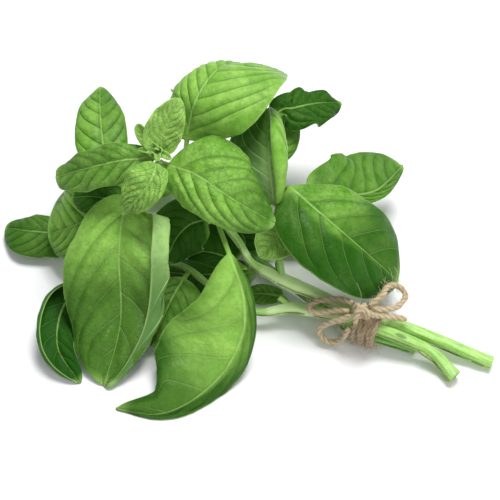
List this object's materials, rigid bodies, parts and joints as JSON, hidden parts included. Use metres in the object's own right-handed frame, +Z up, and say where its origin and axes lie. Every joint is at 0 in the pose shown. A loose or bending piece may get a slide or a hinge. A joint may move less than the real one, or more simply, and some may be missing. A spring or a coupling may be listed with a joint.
{
  "type": "basil bunch",
  "caption": "Bunch of fresh basil sprigs lying on their side, stems tied with a jute twine bow, for kitchen and food scenes.",
  "frame": {"origin": "on the surface that the bunch lies on, under the middle of its bounding box", "axes": "+X along the stems towards their cut ends, +Z up, away from the surface, +Y across, away from the leaf that curls on the surface in front"},
  "size_m": [0.221, 0.1652, 0.0814],
  "materials": {
    "leaf": "satin",
    "young_leaf": "satin",
    "stem": "satin",
    "twine": "matte"
  },
  "bodies": {
    "root": {"leaf_crown_right": "leaf", "leaf_crown_left": "leaf", "leaf_crown_front": "young_leaf", "leaf_crown_back": "young_leaf", "leaf_left_high": "leaf", "leaf_top": "leaf", "leaf_left_long": "leaf", "leaf_front_long": "leaf", "leaf_right_long": "leaf", "leaf_right_high": "leaf", "leaf_folded": "leaf", "leaf_back_right": "leaf", "leaf_left_end": "leaf", "leaf_left_mid": "leaf", "leaf_left_curled": "leaf", "leaf_under_long": "leaf", "leaf_joint": "leaf", "leaf_small_curled": "young_leaf", "leaf_inner_high": "leaf", "leaf_inner_low": "leaf", "leaf_inner_right": "leaf", "leaf_inner_under": "leaf", "leaf_left_inner": "leaf", "leaf_back_left": "leaf", "leaf_back_middle": "leaf", "leaf_back_low": "leaf", "leaf_back_high": "leaf", "stem_main": "stem", "stem_front": "stem", "stem_under": "stem", "twine_wraps": "twine", "twine_knot": "twine", "twine_loop_front": "twine", "twine_loop_back": "twine", "twine_tail_left": "twine", "twine_tail_right": "twine"}
  },
  "joints": []
}
